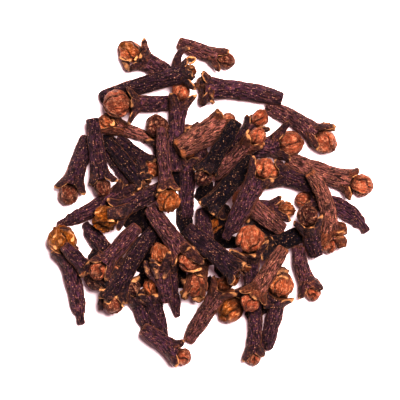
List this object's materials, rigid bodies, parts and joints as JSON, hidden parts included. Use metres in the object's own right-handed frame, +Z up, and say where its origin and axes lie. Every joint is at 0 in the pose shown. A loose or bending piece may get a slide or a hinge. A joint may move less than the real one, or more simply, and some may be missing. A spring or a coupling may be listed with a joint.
{
  "type": "heap of whole cloves",
  "caption": "Loose heap of whole dried cloves: brown tapering stems with pointed sepals and round buds, piled a few layers deep and spread to an uneven edge.",
  "frame": {"origin": "centre of the flat underside on the table, below the middle of the heap", "axes": "+Z up from the table, +Y to the top of the picture, +X to its right"},
  "size_m": [0.062, 0.0632, 0.0142],
  "materials": {
    "dried_clove": "matt, finely wrinkled dried flower buds"
  },
  "bodies": {
    "root": {"clove_heap": "dried_clove"}
  },
  "joints": []
}
